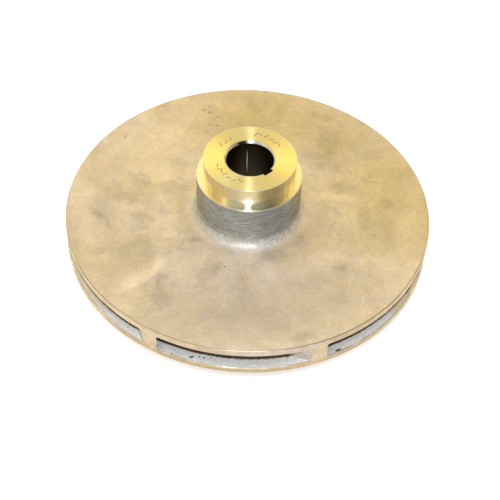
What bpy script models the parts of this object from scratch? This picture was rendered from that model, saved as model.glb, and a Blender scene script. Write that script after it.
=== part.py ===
# Closed pump impeller with seven swept vanes, a keyed hub and a suction eye.
# Metres, +Z up out of the hub. The origin is on the shaft axis, at the lowest face of the
# suction eye, on which the impeller stands. The keyway lies along +X.

import math

import bmesh
import bpy

# Driving dimensions: shrouds
OUTER_RADIUS = 0.162
RIM_WIDTH = 0.0286
BACK_PLATE = 0.0064
FRONT_PLATE = 0.0060
EYE_DROP = 0.0294
RIM_CHAMFER = 0.0006

# Driving dimensions: hub
BORE_RADIUS = 0.0207
KEY_WIDTH = 0.0095
KEY_DEPTH = 0.0037
SPIGOT_RADIUS = 0.0404
SPIGOT_RISE = 0.0603
BARREL_RADIUS = 0.0461
BARREL_RISE = 0.0417
STEM_RADIUS = 0.0300
NOSE_HEIGHT = 0.0120
BORE_CHAMFER = 0.0018
EDGE_CHAMFER = 0.0009
FILLET_HEIGHT = 0.0080
FILLET_REACH = 0.0080
FILLET_LIP = 0.0005
FILLET_HOLLOW = 0.5

# Driving dimensions: flow passages
FLARE_START = 0.0950
FLARE_END_RADIUS = 0.0340
FLARE_END_HEIGHT = 0.0200
FLARE_PULL_DOWN = 0.0100
FLARE_PULL_IN = 0.0400
SHROUD_SLOPE = 0.11
NECK_START = 0.0960
NECK_HEIGHT = 0.0120
NECK_PULL_UP = 0.0040
UNDER_PULL_IN = 0.0120
FLOW_PULL_IN = 0.0160
EYE_RADIUS = 0.0620
NECK_RADIUS = 0.0740
EYE_CHAMFER = 0.0012

# Driving dimensions: vanes
VANE_COUNT = 7
VANE_LAND_ANGLE = math.radians(-20.3)
VANE_INLET_BETA = math.radians(24.0)
VANE_EXIT_BETA = math.radians(40.0)
VANE_INLET_THICKNESS = 0.0046
VANE_EXIT_THICKNESS = 0.0086
VANE_ROOT_RADIUS = 0.0400
VANE_STATIONS = 18
LEADING_EDGE_AT_SHROUD = 0.0655
LEADING_EDGE_AT_HUB = 0.0470

# Construction values
GAP = 0.0003
STEPS = 84
HUB_STEPS = 56
CURVE_POINTS = 7
MERGE = 0.00001
SHARP = math.radians(30)
CUTTER_SPARE = 0.005

# Materials: colour and roughness
SHROUD_METAL = ((0.60, 0.52, 0.38), 0.42)
HUB_METAL = ((0.70, 0.60, 0.32), 0.22)
FILLET_METAL = ((0.58, 0.58, 0.57), 0.40)
PASSAGE_METAL = ((0.52, 0.53, 0.53), 0.50)
EYE_METAL = ((0.62, 0.60, 0.55), 0.28)

# Heights worked out from the driving dimensions
RIM_BOTTOM = EYE_DROP
FLOOR_RIM = RIM_BOTTOM + FRONT_PLATE
BACK_FACE = RIM_BOTTOM + RIM_WIDTH
CEILING = BACK_FACE - BACK_PLATE
HUB_TOP = BACK_FACE + SPIGOT_RISE
LEDGE = BACK_FACE + BARREL_RISE


def clear_scene():
    for item in list(bpy.data.objects):
        bpy.data.objects.remove(item, do_unlink=True)


def new_collection(name):
    collection = bpy.data.collections.new(name)
    bpy.context.scene.collection.children.link(collection)
    return collection


def metal(name, colour, roughness):
    material = bpy.data.materials.new(name)
    material.use_nodes = True
    shader = material.node_tree.nodes["Principled BSDF"]
    shader.inputs["Base Color"].default_value = (*colour, 1.0)
    shader.inputs["Metallic"].default_value = 1.0
    shader.inputs["Roughness"].default_value = roughness
    material.diffuse_color = (*colour, 1.0)
    return material


def bezier(start, pull_start, pull_end, end, count=CURVE_POINTS):
    points = []
    for index in range(count):
        t = index / (count - 1)
        weights = ((1 - t) ** 3, 3 * t * (1 - t) ** 2, 3 * t ** 2 * (1 - t), t ** 3)
        corners = (start, pull_start, pull_end, end)
        points.append(tuple(sum(w * c[axis] for w, c in zip(weights, corners)) for axis in (0, 1)))
    return points


def smooth(mesh):
    mesh.shade_smooth()
    mesh.set_sharp_from_angle(angle=SHARP)


def turned(name, profile, steps, collection, material=None):
    """A ring or sleeve: a closed outline of (radius, height) points turned about Z."""
    mesh = bpy.data.meshes.new(name)
    vertices = [(radius, 0.0, height) for radius, height in profile]
    edges = [(index, (index + 1) % len(profile)) for index in range(len(profile))]
    mesh.from_pydata(vertices, edges, [])
    if material:
        mesh.materials.append(material)
    item = bpy.data.objects.new(name, mesh)
    collection.objects.link(item)
    screw = item.modifiers.new("turn", "SCREW")
    screw.axis = "Z"
    screw.angle = math.tau
    screw.steps = steps
    screw.render_steps = steps
    screw.use_merge_vertices = True
    screw.merge_threshold = MERGE
    screw.use_smooth_shade = True
    return item


def evaluated_mesh(item, name):
    """The item's mesh with its modifiers, welded and shaded."""
    depsgraph = bpy.context.evaluated_depsgraph_get()
    mesh = bpy.data.meshes.new_from_object(item.evaluated_get(depsgraph))
    mesh.name = name
    work = bmesh.new()
    work.from_mesh(mesh)
    bmesh.ops.remove_doubles(work, verts=work.verts, dist=MERGE)
    work.to_mesh(mesh)
    work.free()
    smooth(mesh)
    return mesh


def flow_ceiling():
    """Flow face of the back shroud, from the hub stem out to the rim."""
    flare = bezier(
        (FLARE_END_RADIUS, FLARE_END_HEIGHT),
        (FLARE_END_RADIUS, CEILING - FLARE_PULL_DOWN),
        (FLARE_START - FLARE_PULL_IN, CEILING),
        (FLARE_START, CEILING),
    )
    return flare + [(OUTER_RADIUS, CEILING)]


def shroud_height(radius, rim_height):
    return rim_height - SHROUD_SLOPE * (OUTER_RADIUS - radius)


def shroud_face(rim_height, neck_radius, pull_in):
    """One face of the front shroud, from the rim in and down to the neck."""
    start = (NECK_START, shroud_height(NECK_START, rim_height))
    pull = (NECK_START - pull_in, shroud_height(NECK_START - pull_in, rim_height))
    neck = (neck_radius, NECK_HEIGHT + GAP)
    bend = bezier(start, pull, (neck_radius, NECK_HEIGHT + NECK_PULL_UP), neck)
    return [(OUTER_RADIUS, rim_height)] + bend


def key_cutter(collection):
    """A bar as wide as the key, as long as the hub and past both of its ends."""
    length = HUB_TOP - NOSE_HEIGHT + 2 * CUTTER_SPARE
    inner = BORE_RADIUS / 2
    outer = BORE_RADIUS + KEY_DEPTH
    bpy.ops.mesh.primitive_cube_add(size=1.0)
    cutter = bpy.context.object
    cutter.name = "keyway_cutter"
    cutter.scale = (outer - inner, KEY_WIDTH, length)
    cutter.location = ((outer + inner) / 2, 0.0, (HUB_TOP + NOSE_HEIGHT) / 2)
    for owner in list(cutter.users_collection):
        owner.objects.unlink(cutter)
    collection.objects.link(cutter)
    hide_cutter(cutter)
    return cutter


def hide_cutter(cutter):
    cutter.hide_render = True
    cutter.display_type = "WIRE"


def boolean(item, operation, cutter):
    modifier = item.modifiers.new(operation.lower(), "BOOLEAN")
    modifier.operation = operation
    modifier.solver = "EXACT"
    modifier.object = cutter


def make_hub(collection, cutters, material):
    """Stepped sleeve that stands on the back shroud, with its stem through to the eye."""
    seat = BACK_FACE + GAP
    profile = [
        (BORE_RADIUS + BORE_CHAMFER, HUB_TOP),
        (SPIGOT_RADIUS - EDGE_CHAMFER, HUB_TOP),
        (SPIGOT_RADIUS, HUB_TOP - EDGE_CHAMFER),
        (SPIGOT_RADIUS, LEDGE),
        (BARREL_RADIUS - EDGE_CHAMFER, LEDGE),
        (BARREL_RADIUS, LEDGE - EDGE_CHAMFER),
        (BARREL_RADIUS, seat),
        (STEM_RADIUS, seat),
        (STEM_RADIUS, NOSE_HEIGHT + EDGE_CHAMFER),
        (STEM_RADIUS - EDGE_CHAMFER, NOSE_HEIGHT),
        (BORE_RADIUS + BORE_CHAMFER, NOSE_HEIGHT),
        (BORE_RADIUS, NOSE_HEIGHT + BORE_CHAMFER),
        (BORE_RADIUS, HUB_TOP - BORE_CHAMFER),
    ]
    sleeve = turned("hub", profile, HUB_STEPS, collection, material)
    boolean(sleeve, "DIFFERENCE", key_cutter(cutters))
    return sleeve


def make_fillet(collection, material):
    """Rounded bead around the foot of the hub."""
    inner = BARREL_RADIUS + GAP
    foot = BACK_FACE + GAP
    top = (inner + FILLET_LIP, BACK_FACE + FILLET_HEIGHT)
    toe = (inner + FILLET_REACH, foot + FILLET_LIP)
    hollow = bezier(
        top,
        (top[0], top[1] - FILLET_HEIGHT * FILLET_HOLLOW),
        (toe[0] - FILLET_REACH * FILLET_HOLLOW, toe[1]),
        toe,
    )
    profile = [(inner, top[1])] + hollow + [(toe[0], foot), (inner, foot)]
    return turned("hub_fillet", profile, HUB_STEPS, collection, material)


def make_back_shroud(collection, material):
    """Flat plate whose flow face flares down around the hub stem."""
    inner = STEM_RADIUS + GAP
    outer_side = [
        (inner, BACK_FACE),
        (OUTER_RADIUS - RIM_CHAMFER, BACK_FACE),
        (OUTER_RADIUS, BACK_FACE - RIM_CHAMFER),
    ]
    profile = outer_side + flow_ceiling()[::-1] + [(inner, FLARE_END_HEIGHT)]
    return turned("back_shroud", profile, STEPS, collection, material)


def make_front_shroud(collection, material):
    """Sloping ring plate that bends down into the neck of the eye."""
    under_rim = RIM_BOTTOM + RIM_CHAMFER
    under_side = shroud_face(RIM_BOTTOM, NECK_RADIUS, UNDER_PULL_IN)
    under_side[0] = (OUTER_RADIUS - RIM_CHAMFER, RIM_BOTTOM)
    flow_side = shroud_face(FLOOR_RIM, EYE_RADIUS, FLOW_PULL_IN)
    profile = [(OUTER_RADIUS, under_rim)] + under_side + flow_side[::-1]
    return turned("front_shroud", profile, STEPS, collection, material)


def make_suction_eye(collection, material):
    """Turned ring below the front shroud, the running face in the pump casing."""
    profile = [
        (EYE_RADIUS, NECK_HEIGHT),
        (NECK_RADIUS, NECK_HEIGHT),
        (NECK_RADIUS, EYE_CHAMFER),
        (NECK_RADIUS - EYE_CHAMFER, 0.0),
        (EYE_RADIUS + EYE_CHAMFER, 0.0),
        (EYE_RADIUS, EYE_CHAMFER),
    ]
    return turned("suction_eye", profile, STEPS, collection, material)


def from_radius(face, radius, shift):
    """The part of a face outside a radius, rim last, moved up or down by the shift."""
    points = sorted(face)
    outside = [(r, z + shift) for r, z in points if r > radius]
    for (r0, z0), (r1, z1) in zip(points, points[1:]):
        if r0 <= radius < r1:
            height = z0 + (z1 - z0) * (radius - r0) / (r1 - r0)
            return [(radius, height + shift)] + outside
    return outside


def passage_ring(collection):
    """The turned space that the vanes fill, a gap clear of both shrouds."""
    roof = from_radius(flow_ceiling(), LEADING_EDGE_AT_HUB, -GAP)
    shroud = shroud_face(FLOOR_RIM, EYE_RADIUS, FLOW_PULL_IN)
    floor = from_radius(shroud, LEADING_EDGE_AT_SHROUD, GAP)
    ring = turned("passage_cutter", roof + floor[::-1], STEPS, collection)
    hide_cutter(ring)
    return ring


def vane_centreline():
    """Radius, angle and thickness at each station, worked out from the rim inwards."""
    reach = OUTER_RADIUS + VANE_EXIT_THICKNESS
    step = (reach - VANE_ROOT_RADIUS) / (VANE_STATIONS - 1)
    stations = []
    for index in range(VANE_STATIONS):
        radius = VANE_ROOT_RADIUS + index * step
        share = (radius - VANE_ROOT_RADIUS) / (OUTER_RADIUS - VANE_ROOT_RADIUS)
        beta = VANE_INLET_BETA + share * (VANE_EXIT_BETA - VANE_INLET_BETA)
        thickness = VANE_INLET_THICKNESS + share * (VANE_EXIT_THICKNESS - VANE_INLET_THICKNESS)
        stations.append((radius, beta, thickness))
    angles = [0.0]
    for (inner, beta_in, _), (outer, beta_out, _) in zip(stations, stations[1:]):
        beta = (beta_in + beta_out) / 2
        angles.append(angles[-1] + math.log(outer / inner) / math.tan(beta))
    return [(r, angle, beta, t) for (r, beta, t), angle in zip(stations, angles)]


def rim_angle(line):
    """Angle at which the centreline crosses the rim."""
    for (r0, a0, _, _), (r1, a1, _, _) in zip(line, line[1:]):
        if r0 <= OUTER_RADIUS <= r1:
            return a0 + (a1 - a0) * (OUTER_RADIUS - r0) / (r1 - r0)
    return line[-1][1]


def vane_outline():
    """Plan of one vane: both sides of the centreline, the inner end rounded by a point."""
    line = vane_centreline()
    turn = VANE_LAND_ANGLE - rim_angle(line)
    leading_side = []
    trailing_side = []
    for radius, angle, beta, thickness in line:
        heading = angle + turn + math.pi / 2 - beta
        x = radius * math.cos(angle + turn)
        y = radius * math.sin(angle + turn)
        dx = -math.sin(heading) * thickness / 2
        dy = math.cos(heading) * thickness / 2
        leading_side.append((x + dx, y + dy))
        trailing_side.append((x - dx, y - dy))
    return leading_side + trailing_side[::-1]


def vane_blank(collection):
    """One vane as a plate of its plan outline, taller than the passage."""
    outline = vane_outline()
    curve = bpy.data.curves.new("vane_plan", "CURVE")
    curve.dimensions = "2D"
    curve.fill_mode = "BOTH"
    curve.extrude = BACK_FACE / 2
    spline = curve.splines.new("POLY")
    spline.points.add(len(outline) - 1)
    for point, (x, y) in zip(spline.points, outline):
        point.co = (x, y, 0.0, 1.0)
    spline.use_cyclic_u = True
    plan = bpy.data.objects.new("vane_plan", curve)
    plan.location = (0.0, 0.0, BACK_FACE / 2)
    collection.objects.link(plan)
    bpy.context.view_layer.update()
    blank = bpy.data.objects.new("vane_blank", evaluated_mesh(plan, "vane_blank"))
    blank.matrix_world = plan.matrix_world
    collection.objects.link(blank)
    bpy.data.objects.remove(plan, do_unlink=True)
    return blank


def make_vanes(collection, cutters, material):
    blank = vane_blank(cutters)
    ring = passage_ring(cutters)
    boolean(blank, "INTERSECT", ring)
    bpy.context.view_layer.update()
    mesh = evaluated_mesh(blank, "vane")
    mesh.materials.clear()
    mesh.materials.append(material)
    place = blank.matrix_world.copy()
    mesh.transform(place)
    bpy.data.objects.remove(blank, do_unlink=True)
    bpy.data.objects.remove(ring, do_unlink=True)
    vanes = []
    for index in range(VANE_COUNT):
        vane = bpy.data.objects.new(f"vane_{index + 1}", mesh)
        vane.rotation_euler = (0.0, 0.0, math.tau * index / VANE_COUNT)
        collection.objects.link(vane)
        vanes.append(vane)
    return vanes


def main():
    clear_scene()
    parts = new_collection("pump_impeller")
    cutters = new_collection("cutters")
    plate = metal("shroud_metal", *SHROUD_METAL)
    turned_metal = metal("hub_metal", *HUB_METAL)
    bead = metal("fillet_metal", *FILLET_METAL)
    cast = metal("passage_metal", *PASSAGE_METAL)
    eye = metal("eye_metal", *EYE_METAL)
    pieces = [
        make_hub(parts, cutters, turned_metal),
        make_fillet(parts, bead),
        make_back_shroud(parts, plate),
        make_front_shroud(parts, plate),
        make_suction_eye(parts, eye),
    ]
    pieces += make_vanes(parts, cutters, cast)
    centre = bpy.data.objects.new("impeller", None)
    parts.objects.link(centre)
    for piece in pieces:
        piece.parent = centre


main()
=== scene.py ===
"""Looks of a closed pump impeller: a ground disc, a turned and keyed hub, and cast passages."""

import math

import bmesh
import bpy
import numpy as np
from mathutils import Matrix, Vector, noise


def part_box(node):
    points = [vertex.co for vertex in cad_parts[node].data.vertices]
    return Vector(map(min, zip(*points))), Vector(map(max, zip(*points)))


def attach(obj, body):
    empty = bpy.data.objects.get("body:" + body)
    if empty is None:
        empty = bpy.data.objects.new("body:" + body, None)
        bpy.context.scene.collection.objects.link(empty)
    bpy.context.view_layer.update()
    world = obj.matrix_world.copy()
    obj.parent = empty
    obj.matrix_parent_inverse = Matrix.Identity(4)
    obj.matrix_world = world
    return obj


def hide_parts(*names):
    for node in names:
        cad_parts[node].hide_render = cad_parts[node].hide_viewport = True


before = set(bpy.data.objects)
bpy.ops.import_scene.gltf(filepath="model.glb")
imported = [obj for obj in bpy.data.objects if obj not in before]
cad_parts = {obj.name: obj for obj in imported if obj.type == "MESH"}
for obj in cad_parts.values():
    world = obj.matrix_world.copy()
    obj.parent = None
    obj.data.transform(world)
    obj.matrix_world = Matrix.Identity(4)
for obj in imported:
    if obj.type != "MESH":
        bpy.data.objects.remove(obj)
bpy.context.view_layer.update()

# Sizes read from the frame, in metres
HUB_LOW, HUB_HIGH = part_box("hub")
DISC_LOW, DISC_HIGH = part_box("back_shroud")
FRONT_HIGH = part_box("front_shroud")[1]
EYE_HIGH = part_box("suction_eye")[1]
BEAD_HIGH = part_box("hub_fillet")[1]
OUTER_RADIUS = DISC_HIGH.x
BACK_FACE = DISC_HIGH.z
FLARE_END_HEIGHT = DISC_LOW.z
RIM_FLOOR = FRONT_HIGH.z
BARREL_RADIUS = HUB_HIGH.x
HUB_TOP = HUB_HIGH.z
NOSE_HEIGHT = HUB_LOW.z
NECK_RADIUS = EYE_HIGH.x
NECK_HEIGHT = EYE_HIGH.z
BEAD_RADIUS = BEAD_HIGH.x
BEAD_TOP = BEAD_HIGH.z

# Sizes that the boxes don't give, as the solids have them
BACK_PLATE = 0.0064
FRONT_PLATE = 0.0060
BORE_RADIUS = 0.0207
KEY_HALF = 0.00475
KEY_FLOOR = 0.0244
BORE_CHAMFER = 0.0018
FACE_INSET = 0.00005
EDGE_ROUNDING = 0.0004
SPIGOT_RADIUS = 0.0404
LEDGE = BACK_FACE + 0.0417
STEM_RADIUS = 0.0300
FLARE_START = 0.0950
FLARE_END_RADIUS = 0.0340
SHROUD_SLOPE = 0.11
NECK_START = 0.0960
EYE_RADIUS = 0.0620
CEILING = BACK_FACE - BACK_PLATE
RIM_BOTTOM = RIM_FLOOR - FRONT_PLATE

# Vanes
VANE_COUNT = 7
VANE_LAND_ANGLE = math.radians(-20.3)
VANE_INLET_BETA = math.radians(24.0)
VANE_EXIT_BETA = math.radians(40.0)
VANE_INLET_THICKNESS = 0.0046
VANE_EXIT_THICKNESS = 0.0086
VANE_ROOT_RADIUS = 0.0400
LEADING_EDGE_AT_SHROUD = 0.0655
LEADING_EDGE_AT_HUB = 0.0470
VANE_OVERRUN = 0.006
VANE_STATIONS = 56
STATIONS_CROWDED = 1.35
NOSE_ROUNDING = 1.2
WELD_DISTANCE = 0.000002
CAST_FILLET = 0.0016
BURIED = 0.0006
RIM_INSET = 0.00004

# The camera stands where the photograph was taken from
CAMERA_AZIMUTH = math.radians(46.5)
CAMERA_ELEVATION = math.radians(45.705)
CAMERA_DISTANCE = 1.0525
CAMERA_YAW = math.radians(0.264)
CAMERA_PITCH = math.radians(2.083)
CAMERA_ROLL = math.radians(2.512)
CAMERA_LENS = 84.6
SENSOR = 36.0
CLIP_NEAR = 0.05
CLIP_FAR = 30.0


def camera_matrix():
    """Where the camera stands and how it is turned, from its angles about the disc's centre."""
    level = CAMERA_DISTANCE * math.cos(CAMERA_ELEVATION)
    eye = Vector((0.0, -level, CAMERA_DISTANCE * math.sin(CAMERA_ELEVATION)))
    dip = CAMERA_ELEVATION + CAMERA_PITCH
    ahead = Vector((
        math.sin(CAMERA_YAW) * math.cos(dip),
        math.cos(CAMERA_YAW) * math.cos(dip),
        -math.sin(dip),
    ))
    right = Vector((math.cos(CAMERA_YAW), -math.sin(CAMERA_YAW), 0.0))
    up = right.cross(ahead)
    rolled_right = math.cos(CAMERA_ROLL) * right + math.sin(CAMERA_ROLL) * up
    rolled_up = -math.sin(CAMERA_ROLL) * right + math.cos(CAMERA_ROLL) * up
    turn = Matrix.Rotation(CAMERA_AZIMUTH, 4, "Z")
    place = Matrix((rolled_right, rolled_up, -ahead)).transposed().to_4x4()
    place.translation = eye
    return Matrix.Translation((0.0, 0.0, BACK_FACE)) @ turn @ place


CAMERA_PLACE = camera_matrix()


def make_camera():
    data = bpy.data.cameras.new("photo_camera")
    data.lens = CAMERA_LENS
    data.sensor_width = SENSOR
    data.clip_start = CLIP_NEAR
    data.clip_end = CLIP_FAR
    camera = bpy.data.objects.new("photo_camera", data)
    camera.matrix_world = CAMERA_PLACE
    bpy.context.scene.collection.objects.link(camera)
    bpy.context.scene.camera = camera


# Material building blocks

class Nodes:
    """A node tree, with a short call for each kind of node that is used here."""

    def __init__(self, tree, coordinates):
        self.tree = tree
        self.place = self.node("ShaderNodeTexCoord", {}, coordinates)

    def feed(self, socket, value):
        if isinstance(value, bpy.types.NodeSocket):
            self.tree.links.new(value, socket)
        elif isinstance(value, tuple) and len(value) == 3 and socket.type == "RGBA":
            socket.default_value = (*value, 1.0)
        else:
            socket.default_value = value

    def node(self, kind, inputs, output=0, **settings):
        """One output of a new node with these settings and inputs."""
        made = self.tree.nodes.new(kind)
        for key, value in settings.items():
            setattr(made, key, value)
        for key, value in inputs.items():
            self.feed(made.inputs[key], value)
        return made.outputs[output]

    def maths(self, operation, first, second):
        return self.node("ShaderNodeMath", {0: first, 1: second}, operation=operation)

    def times(self, first, second):
        return self.maths("MULTIPLY", first, second)

    def vector(self, operation, first, second=(0.0, 0.0, 0.0)):
        output = "Value" if operation in ("LENGTH", "DOT_PRODUCT") else "Vector"
        return self.node("ShaderNodeVectorMath", {0: first, 1: second}, output, operation=operation)

    def noise(self, scale, detail=2.0, rough=0.5, warp=0.0, place=None, size=3, output="Fac"):
        inputs = {"Scale": scale, "Detail": detail, "Roughness": rough, "Distortion": warp}
        inputs["Vector" if size > 1 else "W"] = place or self.place
        return self.node("ShaderNodeTexNoise", inputs, output, noise_dimensions=f"{size}D")

    def ramp(self, value, low, high, to_low=0.0, to_high=1.0, smooth=True):
        """The value, moved from low..high to to_low..to_high and held there."""
        inputs = dict(enumerate((value, low, high, to_low, to_high)))
        shape = "SMOOTHSTEP" if smooth else "LINEAR"
        return self.node("ShaderNodeMapRange", inputs, "Result", clamp=True, interpolation_type=shape)

    def colours(self, value, stops):
        """The colour that the value picks between stops of (place, colour)."""
        found = self.node("ShaderNodeValToRGB", {0: value})
        marks = found.node.color_ramp.elements
        while len(marks) < len(stops):
            marks.new(1.0)
        for mark, (place, colour) in zip(marks, stops):
            mark.position = place
            mark.color = (*colour, 1.0)
        return found

    def mix(self, share, first, second, blend="MIX"):
        inputs = {0: share, 6: first, 7: second}
        return self.node("ShaderNodeMix", inputs, 2, data_type="RGBA", blend_type=blend)

    def bump(self, height, depth, normal=None):
        inputs = {"Height": height, "Distance": depth}
        if normal:
            inputs["Normal"] = normal
        return self.node("ShaderNodeBump", inputs, "Normal")

    def radius(self):
        """Distance from the shaft axis."""
        return self.vector("LENGTH", self.vector("MULTIPLY", self.place, (1.0, 1.0, 0.0)))

    def height(self):
        return self.node("ShaderNodeSeparateXYZ", {0: self.place}, "Z")


class Shader(Nodes):
    """A material, whose colour is laid on step by step."""

    def __init__(self, name, colour, roughness, metallic=1.0):
        self.material = bpy.data.materials.new(name)
        self.material.use_nodes = True
        self.material.diffuse_color = (*colour, 1.0)
        super().__init__(self.material.node_tree, "Object")
        self.surface = self.tree.nodes["Principled BSDF"]
        self.colour = colour
        for socket, value in (("Base Color", colour), ("Roughness", roughness), ("Metallic", metallic)):
            self.feed(self.surface.inputs[socket], value)

    def cover(self, share, colour):
        """Another colour where the share is one."""
        self.colour = self.mix(share, self.colour, colour)

    def tint(self, share, tint):
        """The colour so far, multiplied by the tint where the share is one."""
        self.cover(share, self.mix(1.0, self.colour, tint, "MULTIPLY"))

    def shade(self, tone):
        """The colour so far, made darker or lighter by a number."""
        inputs = {0: self.colour, "Scale": tone}
        self.colour = self.node("ShaderNodeVectorMath", inputs, operation="SCALE")

    def finish(self, roughness=None, normal=None):
        for name, value in (("Base Color", self.colour), ("Roughness", roughness), ("Normal", normal)):
            if value is not None:
                self.feed(self.surface.inputs[name], value)
        return self.material


# Wear, and painted light and shade, as in the photograph. Marks are ellipses in its pixels: across,
# down, half length, half width, turn in degrees, strength. seen_ellipses() lays them on the part.
GREY_SMUDGES = {
    "front_left_broad": (195, 294, 16, 8, 0, 0.25),
    "back_right_broad": (333, 163, 29, 13, 0, 0.28),
    "left_rim": (101, 251, 11, 5, 0, 0.35),
    "left_arc": (99, 213, 11, 3, -25, 0.55),
    "left_arc_end": (109, 223, 6, 2.5, -80, 0.60),
    "bead_left": (197, 241, 9, 4, 10, 0.50),
    "left_of_hub": (166, 257, 14, 6, 60, 0.35),
    "front_left": (159, 289, 20, 16, 90, 0.30),
    "front": (243, 286, 18, 16, 90, 0.20),
    "front_right": (342, 267, 9, 7, 0, 0.55),
    "behind_hub_left": (184, 187, 6, 5, 0, 0.45),
    "front_rim": (303, 337, 12, 4, 0, 0.40),
    "bead_right": (300, 241, 14, 7, 30, 0.45),
    # bead_front is painted shade: the dark band along the front of the bead's foot
    "bead_front": (270, 256, 26, 8, 16, 0.40),
}
# Grey patches of the hand grinder, sharp where the first axis points and fading behind it
GREY_SWATHS = {
    "left_front": (133, 259, 26, 21, 45, 0.26),
    "left": (136, 221, 22, 11, 0, 0.36),
    "left_back": (141, 181, 11, 9, 60, 0.45),
    "left_rim": (124, 200, 16, 8, 20, 0.38),
    "front_left": (168, 290, 19, 21, 170, 0.30),
    "bead_left": (186, 250, 18, 10, 60, 0.35),
    "bead_front_left": (203, 277, 26, 8, 40, 0.36),
    "back_right": (332, 143, 17, 13, 170, 0.40),
    "right_back": (344, 186, 18, 8, 200, 0.45),
    "right_back_rim": (374, 179, 14, 6, 180, 0.30),
    "right": (367, 218, 12, 14, 180, 0.45),
    "right_rim": (385, 204, 9, 5, 0, 0.38),
    "right_of_hub": (330, 222, 18, 16, 90, 0.28),
}
# Paler patches that were ground again
PALE_PATCHES = {
    "left_back": (160, 174, 22, 8, 0, 0.45),
    "left_front_rim": (134, 289, 18, 6, 75, 0.35),
    "right_front_rim": (396, 251, 16, 8, 0, 0.40),
    "back_left": (183, 126, 27, 10, 20, 0.50),
    "bead_front": (220, 256, 18, 6, -15, 0.45),
}
PALE_SWATHS = {
    "left_front": (143, 273, 9, 33, -40, 0.65),
    "left_of_hub": (165, 230, 13, 7, -20, 0.50),
    "left": (134, 208, 5, 13, 90, 0.40),
    "right_of_hub": (331, 198, 6, 27, 80, 0.60),
    "right": (355, 214, 7, 6, 0, 0.45),
    "bead_left": (198, 262, 10, 5, 40, 0.40),
    "left_back": (165, 202, 14, 9, 30, 0.35),
}
# Rubs with a brown tint
BROWN_RUBS = {
    "back_right_rim": (321, 116, 16, 3, -20, 0.60),
    "back_left": (206, 131, 6, 4, 0, 0.40),
    "back_left_rim": (163, 107, 8, 4, 25, 0.55),
    "line_behind_hub": (294, 134, 14, 1, -3, 0.60),
    "line_below_it": (297, 137, 8, 1, -2, 0.45),
}
# Painted highlights: bright places on the floor of the front passage
PASSAGE_PAINTED_GLINTS = {
    "right_end": (306, 361, 4.5, 1.7, 15, 1.0),
    "near_right_end": (294, 363, 1.8, 1.0, 0, 0.8),
}
# Pits: across and down in the photograph, radius in millimetres, strength
DISC_PITS = {
    "back_largest": (204, 110, 1.4, 1.0),
    "back_second": (209.5, 112.5, 1.3, 1.0),
    "back_upper": (210, 106.5, 1.1, 0.8),
    "back_upper_right": (217, 108, 1.1, 0.6),
    "back_middle": (213.5, 114, 0.8, 0.6),
    "back_pair_left": (219, 117, 1.1, 0.8),
    "back_pair_right": (222, 119, 1.0, 0.8),
    "back_lower_left": (208.5, 124.5, 1.0, 0.8),
    "back_lower": (217, 125.5, 1.2, 0.9),
    "back_lowest": (223, 129.5, 1.0, 0.8),
    "behind_hub": (253.5, 117.5, 1.0, 0.6),
    "left_pair_lower": (125.5, 137.5, 1.3, 0.8),
    "left_pair_upper": (126.5, 135, 0.9, 0.7),
    "left_soft": (149.5, 183.5, 1.2, 0.4),
    "bead_front": (224.5, 266.5, 1.1, 1.0),
    "below_it": (227.5, 279, 0.7, 0.6),
    "right_soft": (339.5, 234, 2.0, 0.30),
    "right_soft_further": (374, 235.5, 1.6, 0.45),
}
# Dark specks on the floor of the passages: across and down in the photograph, half length and
# half width in millimetres, turn in degrees, strength
PASSAGE_SPECKS = {
    "left_end": (158, 345, 0.9, 0.8, 0, 1.0),
    "left_end_lower": (161, 348, 0.8, 0.6, 0, 1.0),
    "left_round": (165, 352, 0.8, 0.6, 0, 1.0),
    "edge_line": (171, 354, 1.3, 0.8, 120, 1.0),
    "edge_line_end": (176, 356, 1.0, 0.8, 0, 1.0),
    "middle_largest": (191.5, 356.5, 2.2, 1.3, 60, 1.0),
    "middle_second": (199.5, 356, 1.2, 0.8, 0, 1.0),
    "middle_faint": (204, 357, 0.8, 0.6, 0, 1.0),
    "right_passage_corner": (338, 350, 3.4, 1.6, 80, 1.0),
}
# Painted shadow: a dark brown tint covers the passages inside two circles, one round the axis, one a
# little off it
SHADOW_RADIUS = 0.1577
FAR_SHADOW_RADIUS = 0.1621
FAR_SHADOW_CENTRE = (-0.0069, 0.0065, 0.0)
# The tables from here on hold rows of centre, half length, half width, turn and strength, in
# millimetres and degrees. On a level face the centre is its place from the axis, and the turn
# starts at the keyway. On an upright wall the centre is a distance across the view and a height.
# The blasted floor is warmer on one side, and scaly or tan near some vanes. Painted shadow darkens some
# passages more
WARM_FLOOR = ((-60, -150, 95, 40, 20, 1.0),)
DEEP_SHADOW = ((144.5, -9, 46, 8, 86, 1.0), (137.5, 74.5, 30, 2.6, 118, 0.8))
TAN_FLOOR = ((143, 62, 44, 16, 113, 1.0), (118, 110, 30, 26, 130, 0.8))
# Bright scratches round the barrel
BARREL_SCRATCHES = (
    (-1, 85, 7.0, 0.35, 0, 0.9), (2, 67, 4.0, 0.40, 0, 1.0), (-14, 76, 5.0, 0.25, 4, 0.6),
    (18, 90, 6.0, 0.25, 0, 0.5), (-27, 88, 5.0, 0.30, 0, 0.5), (9, 73, 3.0, 0.30, 0, 0.6),
)
# Painted shade on one stretch of the barrel, and a painted straw-coloured reflection on two
BARREL_SHADE = ((17, 88, 22, 17, 0, 1.0),)
BARREL_WARM_REFLECTION = ((-45, 82, 11, 30, 0, 1.0), (45, 82, 11, 30, 0, 1.0))
# A painted highlight streak along the far wall of the bore
BORE_HIGHLIGHT_STREAK = ((-2.6, 95, 17.0, 0.55, 91, 1.0),)
# A painted highlight on the front of the bead, painted shade on its left, and a dark spot on the bore's
# mouth
BEAD_FRONT_HIGHLIGHT = ((37.5, -35.6, 21, 5.2, 46, 1.0),)
BEAD_SHADE = ((-9, -45, 26, 6, 166, 1.0),)
MOUTH_DARK_SPOT = ((-19.8, 8.6, 6, 3, 66, 1.0),)
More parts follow.
